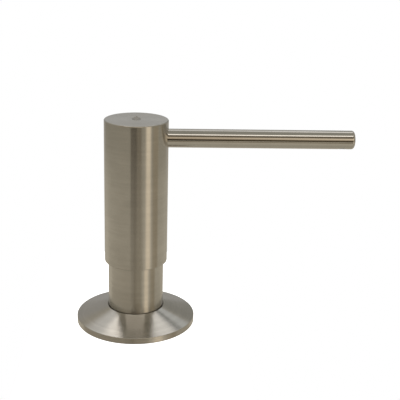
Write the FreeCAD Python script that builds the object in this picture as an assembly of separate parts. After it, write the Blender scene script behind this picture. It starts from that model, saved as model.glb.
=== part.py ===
import FreeCAD, Part
import math
import os

# Deck-mounted soap pump dispenser, in millimetres.
# Z is the pump axis and points up, the spout points along +X, and z = 0 is the top of the worktop.
# Every piece is drawn where it sits with the pump head up, the nut clamping a worktop of WORKTOP
# thickness and the bottle screwed home.

Vector = FreeCAD.Vector
ORIGIN = Vector(0, 0, 0)
X_AXIS = Vector(1, 0, 0)
Y_AXIS = Vector(0, 1, 0)
Z_AXIS = Vector(0, 0, 1)

# Fits
GAP = 0.05                 # between faces of two bodies that rest on each other
RUNNING = 0.05             # radial clearance of a shaft or a seal that slides
THREAD_FIT = 0.06          # radial clearance of a female thread, drawn as a plain bore at the crest
EDGE = 0.3                 # ordinary edge break

# Worktop and clamp
WORKTOP = 20.0
GASKET_R = (17.5, 23.5)
GASKET_THICKNESS = 1.6
RUBBER_WASHER_R = (10.6, 21.0)
RUBBER_WASHER_THICKNESS = 2.0
STEEL_WASHER_R = (10.5, 20.0)
STEEL_WASHER_THICKNESS = 1.0
NUT_HEIGHT = 9.0
NUT_FLANGE_R = 18.5
NUT_FLANGE_THICKNESS = 2.2
NUT_HUB_R = 14.2
NUT_WING_ROOT = 11.0
NUT_WING_REACH = 25.0
NUT_WING_WIDTH = 4.0
NUT_WING_HEIGHT = 7.8
NUT_WING_EDGE = 0.9
NUT_WING_COUNT = 4

# Escutcheon: a flat rim, then a straight cone up to the collar
ESCUTCHEON_R = 25.5
ESCUTCHEON_LIFT = 0.1
RIM_Z = 2.7
CONE_TOP_Z = 7.4
CONE_TOP_R = 12.15
SEAT_Z = 5.4
GROOVE_SIDE = 0.2

# Shank: M20 x 1.5, hollow, screwed into the collar
THREAD_R = 10.0
THREAD_ROOT_R = 9.1
THREAD_PITCH = 1.5
SHANK_BORE_R = 8.4
SHANK_HOLE_R = 10.3
SHANK_LOW_Z = -60.0
SHANK_TOP_Z = 22.4
THREAD_TOP_Z = -2.0

# Collar: the fixed sleeve that the pump head slides over
COLLAR_R = 11.8
COLLAR_BORE_R = 10.25
COLLAR_TOP_Z = 53.5

# Pump head
STROKE = 12.0
HEAD_R = 13.35
HEAD_BORE_R = 12.25
HEAD_LOW_Z = 27.9
HEAD_TOP_Z = 89.6
CROWN = 1.8

# Spout
SPOUT_Z = 81.8
SPOUT_R = 3.9
SPOUT_BORE_R = 3.2
SPOUT_ROOT_X = 6.0
SPOUT_TIP_X = 91.1
SPOUT_TIP_ROUND = 1.2
SPOUT_END_WALL = 1.2
LINER_R = 3.0
LINER_BORE_R = 2.2
LINER_ROOT_X = 3.6
LINER_TIP_X = 82.6
ELBOW_R = 3.15
ELBOW_LENGTH = 7.1
OUTLET_X = 86.0
OUTLET_HOLE_R = 2.3
NOZZLE_R = 2.25
NOZZLE_BORE_R = 1.4
NOZZLE_DEPTH = 2.7

# Pump engine: closure, cylinder, piston and stem
CLOSURE_GASKET_THICKNESS = 0.8
CLOSURE_R = 11.6
CLOSURE_PLATE = 1.8
SKIRT_R = 10.15
SKIRT_BORE_R = 8.95
SKIRT_LENGTH = 26.0
BUSH_R = 5.2
BUSH_FOOT_R = 6.1
BUSH_FOOT = 3.3
BUSH_RISE = 0.3
CYLINDER_R = 7.25
CYLINDER_BORE_R = 6.25
CYLINDER_FLANGE_R = 8.8
CYLINDER_FLANGE = 2.0
CYLINDER_FLOOR_Z = 15.0
VALVE_CHAMBER_R = 3.6
VALVE_CHAMBER_Z = 9.0
VALVE_HOUSING_R = 4.9
INLET_HOLE_R = 1.5
NIPPLE_R = 4.2
NIPPLE_LOW_Z = -6.0
STEM_R = 3.5
STEM_BORE_R = 1.6
STEM_TOP_Z = 76.0
STEM_FLANGE_R = 4.6
STEM_FLANGE_Z = (69.5, 71.4)
PISTON_R = 5.6
PISTON_LENGTH = 10.0
PISTON_BOSS_R = 4.2
PISTON_BOSS = 1.5
SEAL_CORE_R = 4.6
SEAL_LENGTH = 4.0
BALL_R = 2.5
OUTLET_BALL_LIFT = 1.0
CAGE_R = 6.0
CAGE_FLANGE = 1.2
CAGE_SLEEVE_R = 3.5
CAGE_SLEEVE = 1.6
CAGE_BORE_R = 1.9
CAGE_SLOT = 1.2
SPRING_R = 4.9
SPRING_WIRE_R = 0.4
SPRING_TURNS = 7
INSERT_LOW_Z = 71.5
INSERT_POCKET_R = (6.6, 10.6)
INSERT_POCKET = 6.0
OUTLET_CHAMBER_R = 3.2
DUCT_R = 2.2
O_RING_CORD_R = 0.55
LINER_SEAL_CORD_R = 0.5
LINER_SEAL_X = 4.6

# Dip tube and bottle
DIP_TUBE_R = (2.2, 3.0)
DIP_TUBE_TOP_Z = 5.5
DIP_TUBE_LOW_Z = -163.0
BOTTLE_R = 31.0
BOTTLE_WALL = 1.2
BOTTLE_LOW_Z = -172.0
BOTTLE_NECK_R = 12.6
BOTTLE_NECK_TOP_Z = -46.5
BOTTLE_NECK_LOW_Z = -62.5
BOTTLE_SHOULDER_Z = -74.0
BOTTLE_PUSH_UP = 4.0
BOTTLE_BASE_RING = 6.0
GRIP_RIB_R = 0.6
GRIP_RIB_COUNT = 24
GRIP_RIB_MARGIN = 1.5
SEAL_WASHER_R = (8.9, 9.9)
SEAL_WASHER_THICKNESS = 1.4
NECK_HOLE_R = 8.8

# Heights that follow from the sizes above
WORKTOP_LOW_Z = -WORKTOP
RUBBER_LOW_Z = WORKTOP_LOW_Z - RUBBER_WASHER_THICKNESS
STEEL_LOW_Z = RUBBER_LOW_Z - STEEL_WASHER_THICKNESS
NUT_TOP_Z = STEEL_LOW_Z - GAP
NUT_LOW_Z = NUT_TOP_Z - NUT_HEIGHT
CLOSURE_GASKET_Z = COLLAR_TOP_Z + GAP
CLOSURE_Z = CLOSURE_GASKET_Z + CLOSURE_GASKET_THICKNESS
CLOSURE_TOP_Z = CLOSURE_Z + CLOSURE_PLATE
BUSH_FOOT_Z = CLOSURE_Z - BUSH_FOOT
PISTON_TOP_Z = BUSH_FOOT_Z - 3 * GAP
PISTON_Z = PISTON_TOP_Z - PISTON_LENGTH
STEM_LOW_Z = PISTON_Z + 3.0
SEAL_Z = PISTON_Z + 3.6
CAGE_TOP_Z = CYLINDER_FLOOR_Z + CAGE_FLANGE
NECK_LEDGE_Z = SHANK_LOW_Z - SEAL_WASHER_THICKNESS - GAP
BALL_SEAT_REACH = BALL_R * math.sqrt(2.0) + GAP
STEM_SEAT_R = STEM_BORE_R + 1.0
INLET_BALL_Z = VALVE_CHAMBER_Z - VALVE_CHAMBER_R + BALL_SEAT_REACH
OUTLET_BALL_Z = STEM_TOP_Z - STEM_SEAT_R + BALL_SEAT_REACH
OUTLET_CHAMBER_TOP_Z = OUTLET_BALL_Z + BALL_R + OUTLET_BALL_LIFT + 2 * GAP


def rounded_wire(corners):
    """Closed wire in the XZ plane through (r, z) or (r, z, rounding) corners."""
    count = len(corners)
    points = [Vector(corner[0], 0, corner[1]) for corner in corners]
    entries, exits, arcs = [], [], []
    for index, corner in enumerate(corners):
        point = points[index]
        rounding = corner[2] if len(corner) > 2 else 0.0
        if not rounding:
            entries.append(point)
            exits.append(point)
            arcs.append(None)
            continue
        back = (points[index - 1] - point).normalize()
        ahead = (points[(index + 1) % count] - point).normalize()
        half = back.getAngle(ahead) / 2.0
        centre = point + (back + ahead).normalize() * (rounding / math.sin(half))
        start = point + back * (rounding / math.tan(half))
        end = point + ahead * (rounding / math.tan(half))
        middle = centre + (point - centre).normalize() * rounding
        entries.append(start)
        exits.append(end)
        arcs.append(Part.Arc(start, middle, end).toShape())
    edges = []
    for index in range(count):
        if arcs[index]:
            edges.append(arcs[index])
        following = entries[(index + 1) % count]
        if exits[index].distanceToPoint(following) > 1e-6:
            edges.append(Part.LineSegment(exits[index], following).toShape())
    return Part.Wire(edges)


def turned(*corners):
    """Solid of revolution about Z whose outline passes through the corners."""
    return Part.Face(rounded_wire(corners)).revolve(ORIGIN, Z_AXIS, 360)


def ring(radii, low, high, edge=0.0):
    """Flat ring or tube between two radii."""
    inner, outer = radii
    return turned((inner, low, edge), (outer, low, edge), (outer, high, edge), (inner, high, edge))


def rod(radius, low, high):
    return Part.makeCylinder(radius, high - low, Vector(0, 0, low))


def along_spout(shape):
    """Turns a shape made about Z into one about the spout's axis, with z becoming x."""
    turned_shape = shape.copy()
    turned_shape.rotate(ORIGIN, Y_AXIS, 90)
    turned_shape.translate(Vector(0, 0, SPOUT_Z))
    return turned_shape


def torus(ring_radius, cord_radius, height):
    return Part.makeTorus(ring_radius, cord_radius, Vector(0, 0, height), Z_AXIS)


def swept_helix(pitch, height, radius, low, section):
    """Solid swept by a closed section along a right-handed helix that starts at height low.

    The helix is made turn by turn, because a face for each turn meshes well and one long face doesn't.
    """
    turns, risen = [], 0.0
    while height - risen > 0.001:
        rise = min(pitch, height - risen)
        turn = Part.makeHelix(pitch, rise, radius)
        turn.translate(Vector(0, 0, low + risen))
        turns += turn.Edges
        risen += rise
    sweep = Part.BRepOffsetAPI.MakePipeShell(Part.Wire(turns))
    sweep.setFrenetMode(True)
    sweep.add(section)
    sweep.build()
    sweep.makeSolid()
    return sweep.shape()


# Worktop, clamp and base

def escutcheon():
    inner, outer = GASKET_R
    return turned(
        (SHANK_HOLE_R, ESCUTCHEON_LIFT),
        (inner - GROOVE_SIDE, ESCUTCHEON_LIFT),
        (inner - GROOVE_SIDE, GASKET_THICKNESS),
        (outer + GROOVE_SIDE, GASKET_THICKNESS),
        (outer + GROOVE_SIDE, ESCUTCHEON_LIFT),
        (ESCUTCHEON_R, ESCUTCHEON_LIFT, 0.15),
        (ESCUTCHEON_R, RIM_Z, 0.2),
        (CONE_TOP_R, CONE_TOP_Z, 0.1),
        (CONE_TOP_R, SEAT_Z),
        (SHANK_HOLE_R, SEAT_Z),
    )


def base_gasket():
    return ring(GASKET_R, 0.0, GASKET_THICKNESS)


def shank():
    """Hollow threaded tube: a plain upper end in the collar and a helical thread below the worktop."""
    plain = ring((SHANK_BORE_R, THREAD_R), THREAD_TOP_Z, SHANK_TOP_Z)
    core = ring((SHANK_BORE_R, THREAD_ROOT_R + 0.02), SHANK_LOW_Z, THREAD_TOP_Z)
    low = SHANK_LOW_Z + THREAD_PITCH
    root, crest = 0.42 * THREAD_PITCH, 0.08 * THREAD_PITCH
    section = Part.makePolygon([
        Vector(THREAD_ROOT_R - 0.1, 0, low - root),
        Vector(THREAD_R, 0, low - crest),
        Vector(THREAD_R, 0, low + crest),
        Vector(THREAD_ROOT_R - 0.1, 0, low + root),
        Vector(THREAD_ROOT_R - 0.1, 0, low - root),
    ])
    length = THREAD_TOP_Z - SHANK_LOW_Z - 2 * THREAD_PITCH
    ridge = swept_helix(THREAD_PITCH, length, THREAD_ROOT_R, low, section)
    return core.fuse(ridge).fuse(plain)


def collar():
    return turned(
        (THREAD_R, SEAT_Z),
        (COLLAR_R, SEAT_Z, EDGE),
        (COLLAR_R, COLLAR_TOP_Z, EDGE),
        (COLLAR_BORE_R, COLLAR_TOP_Z, EDGE),
        (COLLAR_BORE_R, SHANK_TOP_Z + 0.2),
        (THREAD_R, SHANK_TOP_Z + 0.2),
    )


def rubber_washer():
    return ring(RUBBER_WASHER_R, RUBBER_LOW_Z, WORKTOP_LOW_Z, EDGE)


def steel_washer():
    return ring(STEEL_WASHER_R, STEEL_LOW_Z, RUBBER_LOW_Z, 0.15)


def mounting_nut():
    """Hand-turned plastic nut: a flange under the washers, a hub and four wings."""
    body = turned(
        (THREAD_R - 1.0, NUT_LOW_Z),
        (NUT_HUB_R, NUT_LOW_Z, 1.0),
        (NUT_HUB_R, NUT_TOP_Z - NUT_FLANGE_THICKNESS, 0.8),
        (NUT_FLANGE_R, NUT_TOP_Z - NUT_FLANGE_THICKNESS, EDGE),
        (NUT_FLANGE_R, NUT_TOP_Z, EDGE),
        (THREAD_R - 1.0, NUT_TOP_Z),
    )
    body = body.fuse([nut_wing(45 + 360.0 * index / NUT_WING_COUNT) for index in range(NUT_WING_COUNT)])
    bore = rod(THREAD_R + THREAD_FIT, NUT_LOW_Z - 1, NUT_TOP_Z + 1)
    return body.cut(bore).removeSplitter()


def nut_wing(angle):
    """One round-ended wing with softened upper and lower edges."""
    half = NUT_WING_WIDTH / 2.0
    low = NUT_TOP_Z - NUT_WING_HEIGHT
    reach = NUT_WING_REACH - half
    corner = Vector(NUT_WING_ROOT, -half, low)
    blade = Part.makeBox(reach - NUT_WING_ROOT, NUT_WING_WIDTH, NUT_WING_HEIGHT, corner)
    tip = Part.makeCylinder(half, NUT_WING_HEIGHT, Vector(reach, 0, low))
    wing = blade.fuse(tip).removeSplitter()
    rims = [edge for edge in wing.Edges if edge.BoundBox.ZLength < 0.01]
    wing = wing.makeFillet(NUT_WING_EDGE, rims)
    wing.rotate(ORIGIN, Z_AXIS, angle)
    return wing


# Pump head

def head_shell():
    """Closed-top sleeve with a hole for the spout."""
    shell = turned(
        (0.0, HEAD_TOP_Z - CROWN),
        (HEAD_BORE_R, HEAD_TOP_Z - CROWN),
        (HEAD_BORE_R, HEAD_LOW_Z, EDGE),
        (HEAD_R, HEAD_LOW_Z, EDGE),
        (HEAD_R, HEAD_TOP_Z, EDGE),
        (0.0, HEAD_TOP_Z),
    )
    return shell.cut(along_spout(rod(SPOUT_R, SPOUT_ROOT_X, HEAD_R + 1)))


def head_insert():
    """Moulded core of the head: the stem's socket, the outlet valve chamber and the duct to the spout."""
    body = rod(HEAD_BORE_R, INSERT_LOW_Z, HEAD_TOP_Z - CROWN)
    pocket = ring(INSERT_POCKET_R, INSERT_LOW_Z - 1, INSERT_LOW_Z + INSERT_POCKET)
    socket = rod(STEM_R + RUNNING, INSERT_LOW_Z - 1, STEM_TOP_Z + 2 * GAP)
    chamber = rod(OUTLET_CHAMBER_R, STEM_TOP_Z, OUTLET_CHAMBER_TOP_Z)
    riser = rod(DUCT_R - 0.4, OUTLET_CHAMBER_TOP_Z - 1, SPOUT_Z)
    groove = rod(o_ring_radius() + O_RING_CORD_R, o_ring_height() - 0.7, o_ring_height() + 0.7)
    duct = along_spout(rod(DUCT_R, 0.0, LINER_ROOT_X + 1))
    liner_seat = along_spout(rod(LINER_R, LINER_ROOT_X, SPOUT_ROOT_X + 1))
    seal_groove_r = LINER_R + 2 * LINER_SEAL_CORD_R + GAP
    seal_groove = along_spout(rod(seal_groove_r, LINER_SEAL_X - 0.6, LINER_SEAL_X + 0.6))
    spout_pocket = along_spout(rod(SPOUT_R, SPOUT_ROOT_X, HEAD_BORE_R + 1))
    tools = [pocket, socket, chamber, riser, groove, duct, liner_seat, seal_groove, spout_pocket]
    return body.cut(tools).removeSplitter()


def o_ring_radius():
    return STEM_R + RUNNING + 0.02 + O_RING_CORD_R


def o_ring_height():
    return INSERT_LOW_Z + 2.2


def stem_o_ring():
    return torus(o_ring_radius(), O_RING_CORD_R, o_ring_height())


def spout_tube():
    """Straight tube with a closed, rounded tip and the outlet hole in its underside."""
    outside = turned(
        (0.0, SPOUT_ROOT_X),
        (SPOUT_R, SPOUT_ROOT_X),
        (SPOUT_R, SPOUT_TIP_X, SPOUT_TIP_ROUND),
        (0.0, SPOUT_TIP_X),
    )
    bore = rod(SPOUT_BORE_R, SPOUT_ROOT_X - 1, SPOUT_TIP_X - SPOUT_END_WALL)
    outlet = Part.makeCylinder(OUTLET_HOLE_R, SPOUT_R + 1, Vector(OUTLET_X, 0, SPOUT_Z - SPOUT_R - 1))
    return along_spout(outside.cut(bore)).cut(outlet)


def spout_liner():
    return along_spout(ring((LINER_BORE_R, LINER_R), LINER_ROOT_X, LINER_TIP_X))


def liner_seal():
    radius = LINER_R + GAP + LINER_SEAL_CORD_R
    return along_spout(torus(radius, LINER_SEAL_CORD_R, LINER_SEAL_X))


def outlet_elbow():
    """Plug in the spout's tip that turns the soap downward."""
    plug = along_spout(rod(ELBOW_R, LINER_TIP_X, LINER_TIP_X + ELBOW_LENGTH))
    passage = along_spout(rod(DUCT_R, LINER_TIP_X - 1, OUTLET_X))
    top = nozzle_top()
    socket = Part.makeCylinder(NOZZLE_R, SPOUT_R, Vector(OUTLET_X, 0, top - SPOUT_R))
    drop = Part.makeCylinder(NOZZLE_BORE_R, SPOUT_Z - top + 0.5, Vector(OUTLET_X, 0, top - 0.5))
    return plug.cut([passage, socket, drop]).removeSplitter()


def nozzle_top():
    return SPOUT_Z - SPOUT_R + NOZZLE_DEPTH


def outlet_nozzle():
    """Small sleeve in the outlet hole, its lower end flush with the round of the spout."""
    low = SPOUT_Z - SPOUT_R
    sleeve = Part.makeCylinder(NOZZLE_R, NOZZLE_DEPTH, Vector(OUTLET_X, 0, low))
    bore = Part.makeCylinder(NOZZLE_BORE_R, NOZZLE_DEPTH + 2, Vector(OUTLET_X, 0, low - 1))
    envelope = along_spout(rod(SPOUT_R - GAP, OUTLET_X - 2 * NOZZLE_R, OUTLET_X + 2 * NOZZLE_R))
    return sleeve.cut(bore).common(envelope)


# Pump engine

def pump_closure():
    """Cap on the collar's mouth with a long skirt that is guided in the collar's bore."""
    return turned(
        (BUSH_R, CLOSURE_Z),
        (SKIRT_BORE_R, CLOSURE_Z),
        (SKIRT_BORE_R, CLOSURE_Z - SKIRT_LENGTH, EDGE),
        (SKIRT_R, CLOSURE_Z - SKIRT_LENGTH, EDGE),
        (SKIRT_R, CLOSURE_Z),
        (CLOSURE_R, CLOSURE_Z, EDGE),
        (CLOSURE_R, CLOSURE_TOP_Z, EDGE),
        (BUSH_R, CLOSURE_TOP_Z),
    )


def closure_gasket():
    return ring((SKIRT_R + GAP, CLOSURE_R - EDGE), CLOSURE_GASKET_Z, CLOSURE_Z)


def guide_bush():
    bore = STEM_R + RUNNING
    return turned(
        (bore, BUSH_FOOT_Z),
        (BUSH_FOOT_R, BUSH_FOOT_Z),
        (BUSH_FOOT_R, CLOSURE_Z),
        (BUSH_R, CLOSURE_Z),
        (BUSH_R, CLOSURE_TOP_Z + BUSH_RISE),
        (bore, CLOSURE_TOP_Z + BUSH_RISE),
    )


def pump_cylinder():
    """Barrel with a flange at the top, and below its floor the valve chamber and the tube nipple."""
    dip_socket_r = DIP_TUBE_R[1]
    hole_z = VALVE_CHAMBER_Z - (VALVE_CHAMBER_R - INLET_HOLE_R)
    return turned(
        (dip_socket_r, NIPPLE_LOW_Z),
        (NIPPLE_R, NIPPLE_LOW_Z, EDGE),
        (NIPPLE_R, hole_z - 0.6),
        (VALVE_HOUSING_R, hole_z + 0.4),
        (VALVE_HOUSING_R, CYLINDER_FLOOR_Z - 3.2),
        (CYLINDER_R, CYLINDER_FLOOR_Z - 1.2),
        (CYLINDER_R, CLOSURE_Z - CYLINDER_FLANGE),
        (CYLINDER_FLANGE_R, CLOSURE_Z - CYLINDER_FLANGE),
        (CYLINDER_FLANGE_R, CLOSURE_Z),
        (CYLINDER_BORE_R, CLOSURE_Z),
        (CYLINDER_BORE_R, CYLINDER_FLOOR_Z),
        (VALVE_CHAMBER_R, CYLINDER_FLOOR_Z),
        (VALVE_CHAMBER_R, VALVE_CHAMBER_Z),
        (INLET_HOLE_R, hole_z),
        (INLET_HOLE_R, DIP_TUBE_TOP_Z),
        (dip_socket_r, DIP_TUBE_TOP_Z),
    )


def ball_cage():
    """Spring seat on the cylinder's floor; its slotted sleeve keeps the inlet ball in its chamber."""
    sleeve_z = CYLINDER_FLOOR_Z - CAGE_SLEEVE
    cage = turned(
        (CAGE_BORE_R, sleeve_z),
        (CAGE_SLEEVE_R, sleeve_z),
        (CAGE_SLEEVE_R, CYLINDER_FLOOR_Z),
        (CAGE_R, CYLINDER_FLOOR_Z),
        (CAGE_R, CAGE_TOP_Z),
        (PISTON_BOSS_R, CAGE_TOP_Z),
        (PISTON_BOSS_R, CAGE_TOP_Z + PISTON_BOSS, EDGE),
        (CAGE_BORE_R, CAGE_TOP_Z + PISTON_BOSS),
    )
    slots = []
    for turn in (0, 60, 120):
        corner = Vector(-CAGE_SLEEVE_R - 1, -CAGE_SLOT / 2.0, sleeve_z - 0.5)
        slot = Part.makeBox(2 * CAGE_SLEEVE_R + 2, CAGE_SLOT, 0.5 + 0.75 * CAGE_SLEEVE, corner)
        slot.rotate(ORIGIN, Z_AXIS, turn)
        slots.append(slot)
    return cage.cut(slots)


def return_spring():
    low = CAGE_TOP_Z + SPRING_WIRE_R + GAP
    high = PISTON_Z - SPRING_WIRE_R - GAP
    section = Part.Wire(Part.makeCircle(SPRING_WIRE_R, Vector(SPRING_R, 0, low), Y_AXIS))
    return swept_helix((high - low) / SPRING_TURNS, high - low, SPRING_R, low, section)


def ball(height):
    return Part.makeSphere(BALL_R, Vector(0, 0, height))


def inlet_ball():
    return ball(INLET_BALL_Z)


def outlet_ball():
    return ball(OUTLET_BALL_Z)


def dip_tube():
    """Straight tube with a bevelled foot, so that it can't seal against the bottle's bottom."""
    tube = ring(DIP_TUBE_R, DIP_TUBE_LOW_Z, DIP_TUBE_TOP_Z)
    width = 4 * DIP_TUBE_R[1]
    bevel = Part.makeBox(width, width, width, Vector(-width / 2, -width / 2, -width))
    bevel.rotate(ORIGIN, Y_AXIS, 30)
    bevel.translate(Vector(0, 0, DIP_TUBE_LOW_Z + 0.6 * DIP_TUBE_R[1]))
    return tube.cut(bevel)


def stem():
    """Hollow piston rod with the head's thrust flange and the outlet ball's seat at its top."""
    low, high = STEM_FLANGE_Z
    return turned(
        (STEM_BORE_R, STEM_LOW_Z),
        (STEM_R, STEM_LOW_Z),
        (STEM_R, low),
        (STEM_FLANGE_R, low, EDGE),
        (STEM_FLANGE_R, high, EDGE),
        (STEM_R, high),
        (STEM_R, STEM_TOP_Z, EDGE),
        (STEM_SEAT_R, STEM_TOP_Z),
        (STEM_BORE_R, STEM_TOP_Z - 1.0),
    )


def piston():
    """Piston pressed on the stem, with the seal's groove and a boss that centres the spring."""
    return turned(
        (STEM_BORE_R, PISTON_Z - PISTON_BOSS),
        (PISTON_BOSS_R, PISTON_Z - PISTON_BOSS, EDGE),
        (PISTON_BOSS_R, PISTON_Z),
        (PISTON_R, PISTON_Z),
        (PISTON_R, SEAL_Z),
        (SEAL_CORE_R, SEAL_Z),
        (SEAL_CORE_R, SEAL_Z + SEAL_LENGTH),
        (PISTON_R, SEAL_Z + SEAL_LENGTH),
        (PISTON_R, PISTON_TOP_Z, EDGE),
        (STEM_R, PISTON_TOP_Z),
        (STEM_R, STEM_LOW_Z),
        (STEM_BORE_R, STEM_LOW_Z),
    )


def piston_seal():
    """Double-lip cup seal in the piston's groove."""
    lip = CYLINDER_BORE_R - RUNNING
    waist = lip - 0.7
    return turned(
        (SEAL_CORE_R, SEAL_Z),
        (lip, SEAL_Z),
        (lip, SEAL_Z + 0.6),
        (waist, SEAL_Z + 1.5),
        (waist, SEAL_Z + SEAL_LENGTH - 1.5),
        (lip, SEAL_Z + SEAL_LENGTH - 0.6),
        (lip, SEAL_Z + SEAL_LENGTH),
        (SEAL_CORE_R, SEAL_Z + SEAL_LENGTH),
    )


# Bottle

def bottle_body(inset):
    """Turned body of the bottle, shrunk by inset: neck, round shoulder, straight side and pushed-up base."""
    side = BOTTLE_R - inset
    neck = BOTTLE_NECK_R - inset
    base = BOTTLE_LOW_Z + inset
    ring_r = BOTTLE_R - BOTTLE_BASE_RING
    return turned(
        (0.0, base + BOTTLE_PUSH_UP),
        (ring_r - BOTTLE_PUSH_UP, base + BOTTLE_PUSH_UP, 3.0),
        (ring_r, base, 1.0),
        (side, base, 5.0 - inset),
        (side, BOTTLE_SHOULDER_Z - inset, 14.0 - inset),
        (neck, BOTTLE_NECK_LOW_Z - inset, 4.0 + inset),
        (neck, BOTTLE_NECK_TOP_Z),
        (0.0, BOTTLE_NECK_TOP_Z),
    )


def bottle():
    outside = bottle_body(0.0)
    neck_solid = rod(BOTTLE_NECK_R - 0.1, NECK_LEDGE_Z - 1.6, BOTTLE_NECK_TOP_Z)
    hollow = bottle_body(BOTTLE_WALL).cut(neck_solid)
    bore = rod(THREAD_R + THREAD_FIT, NECK_LEDGE_Z, BOTTLE_NECK_TOP_Z + 1)
    hole = rod(NECK_HOLE_R, NECK_LEDGE_Z - 4, NECK_LEDGE_Z + 1)
    body = outside.cut([hollow, bore, hole]).removeSplitter()
    return body.fuse([grip_rib(360.0 * index / GRIP_RIB_COUNT) for index in range(GRIP_RIB_COUNT)])


def grip_rib(angle):
    """One upright half-round rib on the neck, for turning the bottle by hand."""
    low = BOTTLE_NECK_LOW_Z + 2 * GRIP_RIB_MARGIN
    length = BOTTLE_NECK_TOP_Z - GRIP_RIB_MARGIN - low
    rib = Part.makeCylinder(GRIP_RIB_R, length, Vector(BOTTLE_NECK_R, 0, low))
    rib.rotate(ORIGIN, Z_AXIS, angle)
    return rib


def bottle_seal():
    return ring(SEAL_WASHER_R, NECK_LEDGE_Z + GAP, SHANK_LOW_Z - GAP)


PIECES = (
    escutcheon, base_gasket, shank, collar, rubber_washer, steel_washer, mounting_nut,
    head_shell, head_insert, stem_o_ring, spout_tube, spout_liner, liner_seal, outlet_elbow, outlet_nozzle,
    pump_closure, closure_gasket, guide_bush, pump_cylinder, ball_cage, return_spring,
    inlet_ball, outlet_ball, dip_tube, stem, piston, piston_seal, bottle, bottle_seal,
)

os.makedirs("parts", exist_ok=True)
for piece in PIECES:
    shape = piece()
    shape.exportStep("parts/" + piece.__name__ + ".step")
    print(piece.__name__, len(shape.Solids), shape.isValid(), round(shape.Volume, 1))
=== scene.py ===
import math

import bmesh
import bpy
import numpy as np
from mathutils import Matrix, Vector


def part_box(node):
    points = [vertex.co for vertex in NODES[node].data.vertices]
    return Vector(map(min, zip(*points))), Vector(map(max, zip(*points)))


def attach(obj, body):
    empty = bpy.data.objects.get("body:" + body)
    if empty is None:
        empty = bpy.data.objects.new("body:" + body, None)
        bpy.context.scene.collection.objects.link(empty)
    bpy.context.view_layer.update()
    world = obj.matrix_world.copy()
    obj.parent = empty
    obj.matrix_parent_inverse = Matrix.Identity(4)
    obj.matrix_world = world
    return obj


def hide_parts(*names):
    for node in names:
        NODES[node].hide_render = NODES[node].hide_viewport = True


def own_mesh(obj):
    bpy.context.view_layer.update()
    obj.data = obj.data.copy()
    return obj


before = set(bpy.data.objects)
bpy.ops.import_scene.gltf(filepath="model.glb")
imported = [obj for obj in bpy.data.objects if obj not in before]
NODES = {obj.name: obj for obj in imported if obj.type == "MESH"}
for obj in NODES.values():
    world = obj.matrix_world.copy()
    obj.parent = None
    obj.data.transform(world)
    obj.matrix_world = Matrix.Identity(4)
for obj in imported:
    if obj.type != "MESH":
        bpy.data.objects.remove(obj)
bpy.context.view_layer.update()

# Looks of a deck-mounted soap pump dispenser, in metres, in the frame of the CAD model.
# The metal shells, the bottle and the spring are rebuilt as fine meshes at the CAD model's sizes.
# The other pieces keep their CAD meshes and get finished materials.

MM = 0.001

# Heights within CLOSE of each other are the same height, and a length or radius below TINY is none
CLOSE = 0.001 * MM
TINY = 0.0001 * MM


# Sizes, from the frame where a box shows them

def outer_radius(node):
    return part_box(node)[1].y


def low(node):
    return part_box(node)[0].z


def high(node):
    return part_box(node)[1].z


EDGE = 0.3 * MM
TOP_EDGE = 0.5 * MM
HEAD_R = outer_radius("head_shell")
HEAD_BORE_R = outer_radius("head_insert")
HEAD_LOW, HEAD_HIGH = low("head_shell"), high("head_shell")
HEAD_CEILING = high("head_insert")
COLLAR_R = outer_radius("collar")
COLLAR_LOW, COLLAR_HIGH = low("collar"), high("collar")
COLLAR_WALL = 1.55 * MM
COLLAR_BORE_R = COLLAR_R - COLLAR_WALL
SHANK_R = 10.0 * MM
SHANK_SEAT = high("shank") + 0.2 * MM
BASE_R = outer_radius("escutcheon")
BASE_LOW, BASE_HIGH = low("escutcheon"), high("escutcheon")
BASE_BORE_R = 10.3 * MM
RIM_HEIGHT = 2.6 * MM
CONE_TOP_R = 12.15 * MM
GASKET_R = (17.5 * MM, outer_radius("base_gasket"))
GASKET_HIGH = high("base_gasket")
SPOUT_R = outer_radius("spout_tube")
SPOUT_BORE_R = 3.2 * MM
SPOUT_ROOT, SPOUT_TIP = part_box("spout_tube")[0].x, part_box("spout_tube")[1].x
SPOUT_Z = (low("spout_tube") + high("spout_tube")) / 2
SPOUT_TIP_ROUND = 1.2 * MM
SPOUT_END_WALL = 1.2 * MM
OUTLET_X = (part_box("outlet_nozzle")[0].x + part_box("outlet_nozzle")[1].x) / 2
OUTLET_R = outer_radius("outlet_nozzle") + 0.05 * MM
BOTTLE_R = outer_radius("bottle")
BOTTLE_LOW, BOTTLE_HIGH = low("bottle"), high("bottle")
BOTTLE_WALL = 1.2 * MM
HEEL_ROUND = 5.0 * MM
SHOULDER_ROUND = 14.0 * MM
SHOULDER_RISE = 11.5 * MM
NECK_R = 12.6 * MM
NECK_FILLET = 2.5 * MM
NECK_HEIGHT = 16.0 * MM
NECK_LOW = BOTTLE_HIGH - NECK_HEIGHT
NECK_LEDGE = low("bottle_seal")
NECK_BORE_R = SHANK_R + 0.06 * MM
NECK_HOLE_R = 8.8 * MM
SHOULDER_Z = NECK_LOW - SHOULDER_RISE
SPRING_LOW, SPRING_HIGH = low("return_spring"), high("return_spring")
SPRING_R = 4.9 * MM
WIRE_R = 0.4 * MM
WORKTOP_THICKNESS = -high("rubber_washer")


# Meshes

def placed(name, data):
    piece = bpy.data.objects.new(name, data)
    bpy.context.scene.collection.objects.link(piece)
    return piece


def mesh_from(work, name):
    mesh = bpy.data.meshes.new(name)
    work.to_mesh(mesh)
    work.free()
    return mesh


def orient_outward(mesh):
    work = bmesh.new()
    work.from_mesh(mesh)
    bmesh.ops.recalc_face_normals(work, faces=work.faces)
    work.to_mesh(mesh)
    work.free()


def shade_smooth(mesh, sharp_from):
    """Smooth shading, except across edges that turn by at least that many degrees."""
    mesh.shade_smooth()
    mesh.set_sharp_from_angle(angle=math.radians(sharp_from))


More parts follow.
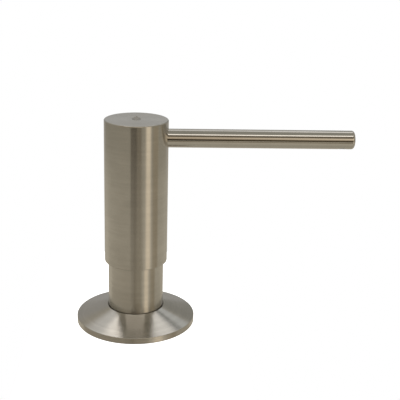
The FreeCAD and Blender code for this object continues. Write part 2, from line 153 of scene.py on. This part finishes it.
def drilled(piece, radius, depth, matrix):
    """Cuts a round hole out of the piece's mesh, centred on the matrix and running along its Z axis."""
    work = bmesh.new()
    bmesh.ops.create_cone(work, cap_ends=True, segments=96, radius1=radius, radius2=radius, depth=depth,
                          matrix=matrix)
    drill = placed("drill", mesh_from(work, "drill"))
    cut = piece.modifiers.new("cut", "BOOLEAN")
    cut.operation, cut.solver, cut.object = "DIFFERENCE", "EXACT", drill
    apply_modifiers(piece)
    bpy.data.objects.remove(drill)


def apply_modifiers(piece):
    bpy.context.view_layer.update()
    shaped = piece.evaluated_get(bpy.context.evaluated_depsgraph_get())
    mesh = bpy.data.meshes.new_from_object(shaped)
    piece.modifiers.clear()
    piece.data = mesh


# Turned shells

class Segment:
    """A straight piece of an outline, with the outline's outward normals at its two ends."""

    def __init__(self, start, end, start_normal, end_normal):
        self.start, self.end = start, end
        self.start_normal, self.end_normal = start_normal, end_normal


def outline(corners, arc_step=math.radians(9)):
    """Segments of the closed outline through (r, z) or (r, z, rounding) corners."""
    points = [Vector(corner[:2]) for corner in corners]
    count = len(points)
    turn = 1.0 if sum(points[i - 1].cross(points[i]) for i in range(count)) > 0 else -1.0
    segments, exits, entries, arcs = [], [], [], []
    for index, corner in enumerate(corners):
        point = points[index]
        rounding = corner[2] if len(corner) > 2 else 0.0
        back = (points[index - 1] - point).normalized()
        ahead = (points[(index + 1) % count] - point).normalized()
        half = back.angle(ahead) / 2
        inset = rounding / math.tan(half)
        entries.append(point + back * inset)
        exits.append(point + ahead * inset)
        arcs.append(rounded_corner(point, back, ahead, rounding, turn, arc_step) if rounding else [])
    for index in range(count):
        segments += arcs[index]
        start, end = exits[index], entries[(index + 1) % count]
        run = end - start
        if run.length > TINY:
            normal = Vector((run.y, -run.x)).normalized() * turn
            segments.append(Segment(start, end, normal, normal))
    return segments


def rounded_corner(point, back, ahead, rounding, turn, arc_step):
    """Segments of the arc that rounds a corner. back and ahead point from it along its two sides."""
    half = back.angle(ahead) / 2
    centre = point + (back + ahead).normalized() * (rounding / math.sin(half))
    first = (point + back * (rounding / math.tan(half)) - centre).normalized()
    last = (point + ahead * (rounding / math.tan(half)) - centre).normalized()
    convex = 1.0 if (-back).cross(ahead) * turn > 0 else -1.0
    steps = max(2, math.ceil((math.pi - 2 * half) / arc_step))
    spokes = [first.slerp(last, step / steps) for step in range(steps + 1)]
    return [Segment(centre + a * rounding, centre + b * rounding, convex * a, convex * b)
            for a, b in zip(spokes, spokes[1:])]


def turned(name, corners, sides=192, relief=None):
    """Mesh object of the outline turned about Z. relief(r, z, angles) returns the radii at those angles."""
    segments = outline(corners)
    angles = np.arange(sides) * (2 * math.pi / sides)
    vertices, rows = [], []
    for segment in segments:
        radius, z = segment.start
        if radius < TINY:
            rows.append([len(vertices)] * sides)
            vertices.append((0.0, 0.0, z))
            continue
        radii = relief(radius, z, angles) if relief else np.full(sides, radius)
        rows.append(range(len(vertices), len(vertices) + sides))
        vertices += zip(radii * np.cos(angles), radii * np.sin(angles), np.full(sides, z))
    faces = []
    for index, segment in enumerate(segments):
        row, after = rows[index], rows[(index + 1) % len(rows)]
        if max(segment.start.x, segment.end.x) < TINY:
            continue
        for side in range(sides):
            around = (side + 1) % sides
            corners_of_face = (row[side], row[around], after[around], after[side])
            faces.append(tuple(dict.fromkeys(corners_of_face)))
    mesh = bpy.data.meshes.new(name)
    mesh.from_pydata(vertices, [], faces)
    orient_outward(mesh)
    return placed(name, mesh), segments


def shade_exactly(piece, segments, aligned=0.9, near=0.05 * MM):
    """Gives each face on the turned outline the outline's own normals.

    Long faces and small rounds then reflect cleanly. Faces off the outline, such as the wall of a drilled
    hole, stay smooth by angle.
    """
    mesh = piece.data
    shade_smooth(mesh, 30)
    starts = np.array([s.start for s in segments])
    runs = np.array([s.end for s in segments]) - starts
    first = np.array([s.start_normal for s in segments])
    last = np.array([s.end_normal for s in segments])
    middle = first + last
    middle /= np.linalg.norm(middle, axis=1)[:, None]
    places = np.array([v.co for v in mesh.vertices])
    normals = corner_normals(mesh)
    for face in mesh.polygons:
        centre = np.array(face.center)
        radius = max(math.hypot(centre[0], centre[1]), TINY)
        spot = np.array((radius, centre[2]))
        facing = np.array((np.dot(face.normal[:2], centre[:2]) / radius, face.normal[2]))
        along = np.clip(((spot - starts) * runs).sum(1) / (runs * runs).sum(1), 0, 1)
        distance = np.linalg.norm(starts + along[:, None] * runs - spot, axis=1)
        fits = (middle @ facing > aligned) & (distance < near)
        if not fits.any():
            continue
        best = np.where(fits, distance, 1.0).argmin()
        for loop in face.loop_indices:
            x, y, z = places[mesh.loops[loop].vertex_index]
            reach = math.hypot(x, y)
            share = np.dot(np.array((reach, z)) - starts[best], runs[best]) / np.dot(runs[best], runs[best])
            share = min(max(share, 0.0), 1.0)
            across, up = first[best] * (1 - share) + last[best] * share
            ray = np.array((x, y)) / reach if reach > TINY else centre[:2] / radius
            normals[loop] = (across * ray[0], across * ray[1], up)
    mesh.normals_split_custom_set(normals)


def corner_normals(mesh):
    values = np.empty(len(mesh.loops) * 3, np.float32)
    mesh.corner_normals.foreach_get("vector", values)
    return values.reshape(-1, 3)


# Node patterns

# Sockets of a Mix node for colours, by place, because the ones for other kinds have the same names
MIX_FACTOR, MIX_FIRST, MIX_SECOND, MIX_RESULT = 0, 6, 7, 2


class Pattern:
    """Short calls that add nodes to a shader tree.

    A value is a number, a colour or another node's output. An output is chosen by its name or its place.
    """

    def __init__(self, tree):
        self.tree = tree

    def put(self, socket, value):
        if isinstance(value, bpy.types.NodeSocket):
            self.tree.links.new(value, socket)
        else:
            socket.default_value = value

    def add(self, kind, *values, output=0, named=None, **settings):
        node = self.tree.nodes.new("ShaderNode" + kind)
        for setting, choice in settings.items():
            setattr(node, setting, choice)
        for socket, value in zip(node.inputs, values):
            self.put(socket, value)
        for name, value in (named or {}).items():
            self.put(node.inputs[name], value)
        return node.outputs[output]

    def math(self, operation, *values):
        return self.add("Math", *values, operation=operation)

    def scaled(self, vector, factors):
        return self.add("VectorMath", vector, factors, operation="MULTIPLY")

    def noise(self, vector, scale, detail=2.0, roughness=0.5):
        return self.add("TexNoise", named={
            "Vector": vector, "Scale": scale, "Detail": detail, "Roughness": roughness})

    def fit(self, value, start, end, to_start=0.0, to_end=1.0, kind="LINEAR"):
        return self.add("MapRange", value, start, end, to_start, to_end, interpolation_type=kind)

    def vary(self, noise, least, most, spread=0.2):
        """A factor from least to most that follows a noise as it goes from 0.5 - spread to 0.5 + spread."""
        return self.fit(noise, 0.5 - spread, 0.5 + spread, least, most)

    def mix(self, factor, first, second, blend="MIX"):
        node = self.tree.nodes.new("ShaderNodeMix")
        node.data_type, node.blend_type = "RGBA", blend
        for index, value in ((MIX_FACTOR, factor), (MIX_FIRST, first), (MIX_SECOND, second)):
            self.put(node.inputs[index], value)
        return node.outputs[MIX_RESULT]

    def place(self):
        return self.add("TexCoord", output="Object")

    def axes(self, vector):
        return (self.add("SeparateXYZ", vector, output=axis) for axis in "XYZ")

    def shade(self, value):
        return self.add("CombineColor", value, value, value)


class Finish(Pattern):
    """A Principled material. Its sockets are named with underscores for spaces."""

    def __init__(self, name, **sockets):
        self.material = bpy.data.materials.new(name)
        self.material.use_nodes = True
        super().__init__(self.material.node_tree)
        self.shader = self.tree.nodes["Principled BSDF"]
        for socket, value in sockets.items():
            self.set(socket, value)

    def set(self, socket, value):
        self.put(self.shader.inputs[socket.replace("_", " ")], value)

    def bump(self, height, strength, distance):
        self.set("Normal", self.add("Bump", named={
            "Strength": strength, "Distance": distance, "Height": height}))


WHITE = (1.0, 1.0, 1.0, 1.0)

# On brushed metal: how fast a scratch changes on its way round the axis, the scale of the bands against
# the scratches, and the tone of the etched drop
SCRATCH_CHANGE = 2.5
BAND_SCALE = 0.2
ETCHED_TONE = 0.72


def brushed(name, colour, roughness, fine=6000.0, depth=0.03, banding=0.03):
    """Metal finished on a lathe: fine scratches run round the axis and draw highlights out along it.

    fine is about the number of scratches in a metre along the outline. banding is the strength of bands
    that are five times as broad as a scratch.
    """
    finish = Finish(name, Metallic=1.0, Anisotropic=0.85, Anisotropic_Rotation=0.25)
    place = finish.place()
    x, y, z = finish.axes(place)
    flat = finish.add("CombineXYZ", x, y, 0.0)
    radius = finish.add("VectorMath", flat, operation="LENGTH", output="Value")
    ray = finish.add("VectorMath", flat, operation="NORMALIZE")
    travel = finish.math("MULTIPLY", finish.math("ADD", z, radius), fine)
    scratch = finish.add("VectorMath", finish.scaled(ray, (SCRATCH_CHANGE, SCRATCH_CHANGE, 0.0)),
                         finish.add("CombineXYZ", 0.0, 0.0, travel), operation="ADD")
    lines = finish.noise(scratch, 1.0, detail=3.0, roughness=0.7)
    bands = finish.noise(finish.scaled(scratch, (BAND_SCALE,) * 3), 1.0)
    cloud = finish.noise(place, 90.0, detail=3.0)
    smudge = finish.noise(place, 260.0, detail=4.0, roughness=0.6)
    etched = droplet(finish, x, y, z)
    streaks = finish.math("MULTIPLY", finish.vary(cloud, 0.96, 1.04),
                          finish.vary(lines, 0.94, 1.06, spread=0.25))
    marks = finish.math("MULTIPLY", streaks, finish.vary(bands, 1.0 - banding, 1.0 + banding))
    tone = finish.math("MULTIPLY", marks, finish.fit(etched, 0.0, 1.0, 1.0, ETCHED_TONE))
    finish.set("Base Color", finish.mix(1.0, colour, finish.shade(tone), blend="MULTIPLY"))
    polish = finish.math("MULTIPLY", finish.vary(lines, 0.88, 1.12),
                         finish.fit(smudge, 0.35, 0.75, 0.94, 1.08))
    matt = finish.fit(etched, 0.0, 1.0, roughness, 2 * roughness)
    finish.set("Roughness", finish.math("MULTIPLY", polish, matt))
    finish.set("Tangent", finish.add("Tangent", direction_type="RADIAL", axis="Z"))
    finish.bump(lines, depth, 0.02 * MM)
    return finish.material


def droplet(finish, x, y, z, half_width=2.0 * MM, half_length=4.6 * MM, middle=2.4 * MM, edge=0.15 * MM):
    """1 inside the plain soap drop etched in the head's flat top, 0 elsewhere.

    With t from -1 at its round end to 1 at its point, its half width follows (1 - t) * sqrt(1 - t * t).
    """
    fullest = 1.3
    along = finish.math("DIVIDE", finish.math("SUBTRACT", y, middle), half_length)
    room = finish.math("SUBTRACT", 1.0, finish.math("MULTIPLY", along, along))
    bulge = finish.math("SQRT", finish.math("MAXIMUM", room, 0.0))
    taper = finish.math("MULTIPLY", finish.math("SUBTRACT", 1.0, along), half_width / fullest)
    spare = finish.math("SUBTRACT", finish.math("MULTIPLY", bulge, taper), finish.math("ABSOLUTE", x))
    on_top = finish.math("GREATER_THAN", z, HEAD_HIGH - 0.05 * MM)
    return finish.math("MULTIPLY", finish.fit(spare, 0.0, edge), on_top)


def moulded(name, colour, roughness, grain=1400.0, depth=0.25, cloudy=0.06, **sockets):
    """Moulded plastic or rubber: a fine sparked grain, faint flow clouds and a slightly uneven gloss."""
    finish = Finish(name, **sockets)
    place = finish.place()
    cloud = finish.noise(place, 60.0, detail=4.0, roughness=0.6)
    speck = finish.noise(place, grain, detail=2.0)
    tone = finish.math("MULTIPLY", finish.vary(cloud, 1 - cloudy, 1 + cloudy),
                       finish.vary(speck, 0.96, 1.04))
    finish.set("Base Color", finish.mix(1.0, colour, finish.shade(tone), blend="MULTIPLY"))
    finish.set("Roughness", finish.math("MULTIPLY", finish.vary(cloud, 0.85, 1.15), roughness))
    finish.bump(speck, depth, 0.03 * MM)
    return finish.material


def plated(name, colour, tint, roughness, marks=(1.0, 1.0, 1.0), depth=0.15):
    """Plated or drawn metal: cloudy colour between two tones, with marks stretched as the scale says."""
    finish = Finish(name, Metallic=1.0)
    place = finish.place()
    cloud = finish.noise(place, 140.0, detail=5.0, roughness=0.65)
    line = finish.noise(finish.scaled(place, marks), 1800.0, detail=3.0, roughness=0.6)
    finish.set("Base Color", finish.mix(finish.vary(cloud, 0.0, 1.0, spread=0.15), colour, tint))
    polish = finish.math("MULTIPLY", finish.vary(line, 0.8, 1.25), finish.vary(cloud, 0.9, 1.15))
    finish.set("Roughness", finish.math("MULTIPLY", polish, roughness))
    finish.bump(line, depth, 0.03 * MM)
    return finish.material


FINISHES = {
    "brushed_nickel": brushed("brushed_nickel", (0.60, 0.575, 0.53, 1.0), 0.20),
    "satin_spout": brushed("satin_spout", (0.60, 0.575, 0.53, 1.0), 0.12, depth=0.01, banding=0.005),
    "threaded_brass": plated("threaded_brass", (0.74, 0.52, 0.24, 1.0), (0.60, 0.40, 0.18, 1.0), 0.3,
                             marks=(0.15, 0.15, 1.0)),
    "zinc_steel": plated("zinc_steel", (0.62, 0.63, 0.66, 1.0), (0.52, 0.53, 0.50, 1.0), 0.34),
    "spring_steel": plated("spring_steel", (0.56, 0.55, 0.53, 1.0), (0.48, 0.47, 0.45, 1.0), 0.24),
    "ball_steel": plated("ball_steel", (0.66, 0.66, 0.67, 1.0), (0.60, 0.60, 0.61, 1.0), 0.08, depth=0.02),
    "black_rubber": moulded("black_rubber", (0.022, 0.022, 0.023, 1.0), 0.62, grain=2200.0, depth=0.4),
    "seal_rubber": moulded("seal_rubber", (0.05, 0.05, 0.052, 1.0), 0.45, grain=1800.0, depth=0.2),
    "nut_plastic": moulded("nut_plastic", (0.035, 0.036, 0.038, 1.0), 0.42, grain=1500.0, depth=0.5),
    "nozzle_plastic": moulded("nozzle_plastic", (0.06, 0.06, 0.062, 1.0), 0.4),
    "core_plastic": moulded("core_plastic", (0.78, 0.77, 0.73, 1.0), 0.38, Subsurface_Weight=0.1),
    "pump_plastic": moulded("pump_plastic", (0.80, 0.80, 0.78, 1.0), 0.33, Subsurface_Weight=0.15),
    "liner_plastic": moulded("liner_plastic", (0.72, 0.73, 0.72, 1.0), 0.3, Transmission_Weight=0.35),
    "bottle_plastic": moulded("bottle_plastic", (0.84, 0.84, 0.82, 1.0), 0.36, grain=900.0, depth=0.08,
                              cloudy=0.015),
}


def dress(piece, finish):
    piece.data.materials.clear()
    piece.data.materials.append(FINISHES[finish])


def install(piece, node, body, finish):
    """Puts a finished mesh in a CAD node's place."""
    dress(piece, finish)
    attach(piece, body)
    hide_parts(node)


# Metal shells

def toward_x(x, z):
    """Place at that x and z in the middle plane, with its Z axis along X."""
    return Matrix.Translation((x, 0, z)) @ Matrix.Rotation(math.radians(90), 4, "Y")


def head_shell():
    piece, segments = turned("head_shell_turned", (
        (0.0, HEAD_CEILING),
        (HEAD_BORE_R, HEAD_CEILING),
        (HEAD_BORE_R, HEAD_LOW, EDGE),
        (HEAD_R, HEAD_LOW, EDGE),
        (HEAD_R, HEAD_HIGH, TOP_EDGE),
        (0.0, HEAD_HIGH),
    ))
    wall = HEAD_R - HEAD_BORE_R
    drilled(piece, SPOUT_R, 4 * wall, toward_x(HEAD_R, SPOUT_Z))
    shade_exactly(piece, segments)
    install(piece, "head_shell", "head", "brushed_nickel")


def collar():
    piece, segments = turned("collar_turned", (
        (SHANK_R, COLLAR_LOW),
        (COLLAR_R, COLLAR_LOW, EDGE),
        (COLLAR_R, COLLAR_HIGH, EDGE),
        (COLLAR_BORE_R, COLLAR_HIGH, EDGE),
        (COLLAR_BORE_R, SHANK_SEAT),
        (SHANK_R, SHANK_SEAT),
    ))
    shade_exactly(piece, segments)
    install(piece, "collar", "base", "brushed_nickel")


def escutcheon():
    gasket_room = 0.2 * MM
    groove_inner, groove_outer = GASKET_R[0] - gasket_room, GASKET_R[1] + gasket_room
    foot_edge, rim_edge, top_edge = 0.15 * MM, 0.2 * MM, 0.1 * MM
    piece, segments = turned("escutcheon_turned", (
        (BASE_BORE_R, BASE_LOW),
        (groove_inner, BASE_LOW),
        (groove_inner, GASKET_HIGH),
        (groove_outer, GASKET_HIGH),
        (groove_outer, BASE_LOW),
        (BASE_R, BASE_LOW, foot_edge),
        (BASE_R, BASE_LOW + RIM_HEIGHT, rim_edge),
        (CONE_TOP_R, BASE_HIGH, top_edge),
        (CONE_TOP_R, COLLAR_LOW),
        (BASE_BORE_R, COLLAR_LOW),
    ), sides=256)
    shade_exactly(piece, segments)
    install(piece, "escutcheon", "base", "brushed_nickel")


def spout_tube():
    length = SPOUT_TIP - SPOUT_ROOT
    piece, segments = turned("spout_tube_turned", (
        (SPOUT_BORE_R, 0.0),
        (SPOUT_R, 0.0),
        (SPOUT_R, length, SPOUT_TIP_ROUND),
        (0.0, length),
        (0.0, length - SPOUT_END_WALL),
        (SPOUT_BORE_R, length - SPOUT_END_WALL),
    ), sides=128)
    standing = toward_x(SPOUT_ROOT, SPOUT_Z)
    underside = Matrix.Translation((OUTLET_X, 0, SPOUT_Z - SPOUT_R))
    drilled(piece, OUTLET_R, 2 * SPOUT_BORE_R, standing.inverted() @ underside)
    shade_exactly(piece, segments)
    piece.matrix_world = standing
    install(piece, "spout_tube", "head", "satin_spout")


# Bottle

RIB_COUNT = 24
RIB_R = 0.6 * MM
RIB_LOW, RIB_HIGH = NECK_LOW + 3.0 * MM, BOTTLE_HIGH - 1.5 * MM


def grip_ribs(radius, z, angles):
    """Radii of the ribbed neck: half-round ribs that fade in and out at their ends."""
    if abs(radius - NECK_R) > 0.01 * MM or not RIB_LOW - CLOSE <= z <= RIB_HIGH + CLOSE:
        return np.full(len(angles), radius)
    pitch = 2 * math.pi / RIB_COUNT
    off = (angles + pitch / 2) % pitch - pitch / 2
    reach = np.clip(1 - (off * NECK_R / RIB_R) ** 2, 0, 1)
    end = min(z - RIB_LOW, RIB_HIGH - z) / RIB_R
    return radius + RIB_R * np.sqrt(reach) * math.sqrt(1 - (1 - min(max(end, 0.0), 1.0)) ** 2)


def bottle():
    ring = BOTTLE_R - 6.0 * MM
    push = 4.0 * MM
    push_round, ring_round, lip_edge = 3.0 * MM, 1.0 * MM, 0.4 * MM
    wall = BOTTLE_WALL
    inner_low = BOTTLE_LOW + wall
    steps = [RIB_R * (1 - math.cos(math.radians(angle))) for angle in (0, 20, 40, 60, 90)]
    ribs = [(NECK_R, RIB_LOW + step) for step in steps]
    ribs += [(NECK_R, RIB_HIGH - step) for step in reversed(steps)]
    piece, _ = turned("bottle_blown", (
        (0.0, BOTTLE_LOW + push),
        (ring - push, BOTTLE_LOW + push, push_round),
        (ring, BOTTLE_LOW, ring_round),
        (BOTTLE_R, BOTTLE_LOW, HEEL_ROUND),
        (BOTTLE_R, SHOULDER_Z, SHOULDER_ROUND),
        (NECK_R, NECK_LOW, NECK_FILLET),
        *ribs,
        (NECK_R, BOTTLE_HIGH, lip_edge),
        (NECK_BORE_R, BOTTLE_HIGH, lip_edge),
        (NECK_BORE_R, NECK_LEDGE),
        (NECK_HOLE_R, NECK_LEDGE),
        (NECK_HOLE_R, NECK_LOW - wall),
        (BOTTLE_R - wall, SHOULDER_Z - wall, SHOULDER_ROUND - wall),
        (BOTTLE_R - wall, inner_low, HEEL_ROUND - wall),
        (ring, inner_low, ring_round),
        (ring - push, inner_low + push, push_round),
        (0.0, inner_low + push),
    ), sides=384, relief=grip_ribs)
    shade_smooth(piece.data, 35)
    install(piece, "bottle", "bottle", "bottle_plastic")


# Return spring

def return_spring(turns=7, closed=1.0, sides=16, steps_per_turn=48):
    """Wire helix whose first and last turns lie closed, so that the spring stands square on its seats."""
    length = SPRING_HIGH - SPRING_LOW
    height = length - 2 * WIRE_R
    closed_height = closed * 2 * WIRE_R
    steps = int(turns * steps_per_turn)
    wound = np.linspace(0, turns, steps + 1)
    lift = np.interp(wound, (0, closed, turns - closed, turns),
                     (0, closed_height, height - closed_height, height))
    angles = 2 * math.pi * wound
    centres = np.stack((SPRING_R * np.cos(angles), SPRING_R * np.sin(angles),
                        SPRING_LOW + WIRE_R + lift), 1)
    tangents = np.gradient(centres, axis=0)
    tangents /= np.linalg.norm(tangents, axis=1)[:, None]
    out = np.stack((np.cos(angles), np.sin(angles), np.zeros_like(angles)), 1)
    up = np.cross(tangents, out)
    around = np.arange(sides) * 2 * math.pi / sides
    rings = (centres[:, None] + WIRE_R * (np.cos(around)[None, :, None] * out[:, None]
                                          + np.sin(around)[None, :, None] * up[:, None]))
    faces = []
    for ring in range(0, steps * sides, sides):
        for side in range(sides):
            after = (side + 1) % sides
            faces.append((ring + side, ring + after, ring + sides + after, ring + sides + side))
    faces += [tuple(range(sides)), tuple(range(steps * sides, (steps + 1) * sides))]
    mesh = bpy.data.meshes.new("return_spring_coiled")
    mesh.from_pydata(rings.reshape(-1, 3).tolist(), [], faces)
    orient_outward(mesh)
    shade_smooth(mesh, 50)
    piece = placed("return_spring_coiled", mesh)
    install(piece, "return_spring", "pump_body", "spring_steel")
    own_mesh(piece)


# Pieces that keep their CAD meshes

CAD_FINISHES = {
    "black_rubber": ("base_gasket", "rubber_washer"),
    "threaded_brass": ("shank",),
    "zinc_steel": ("steel_washer",),
    "nut_plastic": ("mounting_nut",),
    "core_plastic": ("head_insert", "guide_bush", "ball_cage", "stem"),
    "pump_plastic": ("pump_closure", "pump_cylinder", "piston"),
    "seal_rubber": ("stem_o_ring", "liner_seal", "closure_gasket", "bottle_seal"),
    "liner_plastic": ("spout_liner", "dip_tube", "piston_seal"),
    "nozzle_plastic": ("outlet_elbow", "outlet_nozzle"),
    "ball_steel": ("inlet_ball", "outlet_ball"),
}


def finish_cad_pieces():
    for finish, nodes in CAD_FINISHES.items():
        for node in nodes:
            shade_smooth(NODES[node].data, 32)
            dress(NODES[node], finish)


# Stage: a strip of white worktop that the dispenser is clamped to

def rise(edge):
    first, last = edge.verts
    return abs(first.co.z - last.co.z)


def worktop(width=90.0 * MM, depth=160.0 * MM, corner=10.0 * MM, edge_round=1.0 * MM, hole=16.0 * MM):
    """Slab with its top at height 0, whose upper face glows, so that it's as white as the background."""
    work = bmesh.new()
    bmesh.ops.create_cube(work, size=1.0, matrix=Matrix.Translation((0, 0, -WORKTOP_THICKNESS / 2))
                          @ Matrix.Diagonal((width, depth, WORKTOP_THICKNESS, 1.0)))
    upright = [edge for edge in work.edges if rise(edge) > WORKTOP_THICKNESS / 2]
    bmesh.ops.bevel(work, geom=upright, offset=corner, segments=12, affect="EDGES", profile=0.5)
    border = [edge for edge in work.edges if rise(edge) < CLOSE
              and len(edge.link_faces) == 2 and edge.calc_face_angle() > math.radians(60)]
    bmesh.ops.bevel(work, geom=border, offset=edge_round, segments=4, affect="EDGES", profile=0.5)
    piece = placed("worktop", mesh_from(work, "worktop"))
    drilled(piece, hole, 4 * WORKTOP_THICKNESS, Matrix.Identity(4))
    shade_smooth(piece.data, 30)
    surface = Finish("worktop_white", Roughness=0.5, Base_Color=(0.82, 0.82, 0.81, 1.0))
    side_glow, top_glow = 0.12, 1.0
    up = surface.add("SeparateXYZ", surface.add("NewGeometry", output="Normal"), output="Z")
    surface.set("Emission_Color", WHITE)
    surface.set("Emission_Strength", surface.fit(up, 0.02, 0.2, side_glow, top_glow))
    piece.data.materials.append(surface.material)
    piece.visible_glossy = False


# Studio: a camera at the reference angle, and soft light from broad cards around the object

VIEW_AZIMUTH = math.radians(-3.84)
VIEW_ELEVATION = math.radians(17.98)
VIEW_ROLL = math.radians(1.55)
VIEW_DISTANCE = 0.3667
VIEW_TARGET = Vector((0.02706, 0.0, 0.05489))
LENS, SENSOR = 77.7, 36.0


def camera():
    data = bpy.data.cameras.new("camera")
    data.lens, data.sensor_width = LENS, SENSOR
    data.clip_start, data.clip_end = 0.01, 20.0
    back = Vector((math.sin(VIEW_AZIMUTH) * math.cos(VIEW_ELEVATION),
                   -math.cos(VIEW_AZIMUTH) * math.cos(VIEW_ELEVATION), math.sin(VIEW_ELEVATION)))
    right = Vector((math.cos(VIEW_AZIMUTH), math.sin(VIEW_AZIMUTH), 0.0))
    level = Matrix((right, back.cross(right), back)).transposed().to_4x4()
    piece = placed("camera", data)
    piece.matrix_world = (Matrix.Translation(VIEW_TARGET + back * VIEW_DISTANCE) @ level
                          @ Matrix.Rotation(VIEW_ROLL, 4, "Z"))
    bpy.context.scene.camera = piece


# Each card: azimuth from the viewing side and elevation of its centre, its half width and half height,
# the softness of its edges, all in degrees, and its colour. Later cards cover earlier ones.
GROUND = (0.49, 0.45, 0.37, 1.0)
SKY = (0.39, 0.365, 0.31, 1.0)
CARDS = (
    (0, -80, 180, 20, 8, (0.43, 0.40, 0.33, 1.0)),
    (-60, -35, 60, 10, 4, (0.22, 0.185, 0.135, 1.0)),
    (110, -32, 30, 7, 3, (0.31, 0.28, 0.22, 1.0)),
    (0, -20, 140, 5, 3, (0.56, 0.52, 0.43, 1.0)),
    (0, -5, 140, 9, 4, (0.16, 0.15, 0.12, 1.0)),
    (0, 7, 60, 4, 2, (0.42, 0.34, 0.24, 1.0)),
    (0, 20, 60, 9, 2, (0.62, 0.52, 0.39, 1.0)),
    (32, 19, 18, 9, 10, (0.95, 0.82, 0.64, 1.0)),
    (0, 39, 60, 11, 2, (0.18, 0.15, 0.11, 1.0)),
    (0, 57, 60, 5.5, 2, (1.60, 1.53, 1.42, 1.0)),
    (0, 80, 180, 14, 4, (0.34, 0.33, 0.29, 1.0)),
    (13, -27, 17, 4, 3, (0.18, 0.145, 0.09, 1.0)),
    (4, -7, 19, 9.5, 2, (0.08, 0.06, 0.035, 1.0)),
    (-4, -8, 11, 10, 2, (0.02, 0.015, 0.01, 1.0)),
    (48.5, -1, 9, 30, 5, (0.88, 0.77, 0.60, 1.0)),
    (78, -12, 12, 16, 5, (0.34, 0.29, 0.21, 1.0)),
    (180, 8, 45, 22, 6, (0.36, 0.35, 0.33, 1.0)),
    (162, 12, 10, 20, 3, (0.29, 0.285, 0.26, 1.0)),
    (-176, 16, 10, 14, 4, (0.47, 0.47, 0.46, 1.0)),
    (180, 52, 42, 12, 6, (0.80, 0.80, 0.79, 1.0)),
    (160, 38, 14, 4, 2, (0.58, 0.60, 0.60, 1.0)),
    (157, 45, 10, 2.5, 1, (0.15, 0.16, 0.16, 1.0)),
    (158, 57, 8, 8, 3, (1.15, 1.13, 1.10, 1.0)),
    (-152, 62, 8, 9, 3, (1.75, 1.68, 1.60, 1.0)),
)


def studio():
    """World that is the cards to metal, a soft light to matt surfaces and plain white to the camera."""
    world = bpy.data.worlds.new("studio")
    world.use_nodes = True
    bpy.context.scene.world = world
    light = Pattern(world.node_tree)
    world.node_tree.nodes.clear()
    x, y, z = light.axes(light.add("TexCoord", output="Generated"))
    bearing = light.math("ARCTAN2", x, light.math("MULTIPLY", y, -1.0))
    azimuth = light.math("SUBTRACT", bearing, VIEW_AZIMUTH)
    elevation = light.math("ARCSINE", z)
    colour = light.mix(light.fit(elevation, math.radians(-10), math.radians(20)), GROUND, SKY)
    for card in CARDS:
        colour = light.mix(card_mask(light, azimuth, elevation, *card[:5]), colour, card[5])
    seen, lighting = (light.add("LightPath", output=ray) for ray in ("Is Camera Ray", "Is Diffuse Ray"))
    from_left = light.fit(light.math("ADD", x, y), -1.4, 1.4, 1.25, 0.75)
    soft = light.shade(light.math("MULTIPLY", light.fit(z, -1.0, 1.0, 0.55, 1.1), from_left))
    shown = light.mix(seen, light.mix(lighting, colour, soft), WHITE)
    output = light.tree.nodes.new("ShaderNodeOutputWorld")
    light.put(output.inputs["Surface"], light.add("Background", shown, 1.0))


def card_mask(light, azimuth, elevation, azimuth_at, elevation_at, half_width, half_height, soft):
    """1 inside the card, 0 outside it."""
    turned_away = light.math("SUBTRACT", azimuth, math.radians(azimuth_at))
    aside = light.math("WRAP", turned_away, math.pi, -math.pi)
    above = light.math("SUBTRACT", elevation, math.radians(elevation_at))
    inside = []
    for offset, half in ((aside, half_width), (above, half_height)):
        reach = light.math("ABSOLUTE", offset)
        inside.append(light.fit(reach, math.radians(half + soft), math.radians(half - soft),
                                kind="SMOOTHSTEP"))
    return light.math("MULTIPLY", *inside)


head_shell()
collar()
escutcheon()
spout_tube()
bottle()
return_spring()
finish_cad_pieces()
worktop()
camera()
studio()
bpy.context.scene.view_settings.view_transform = "Standard"
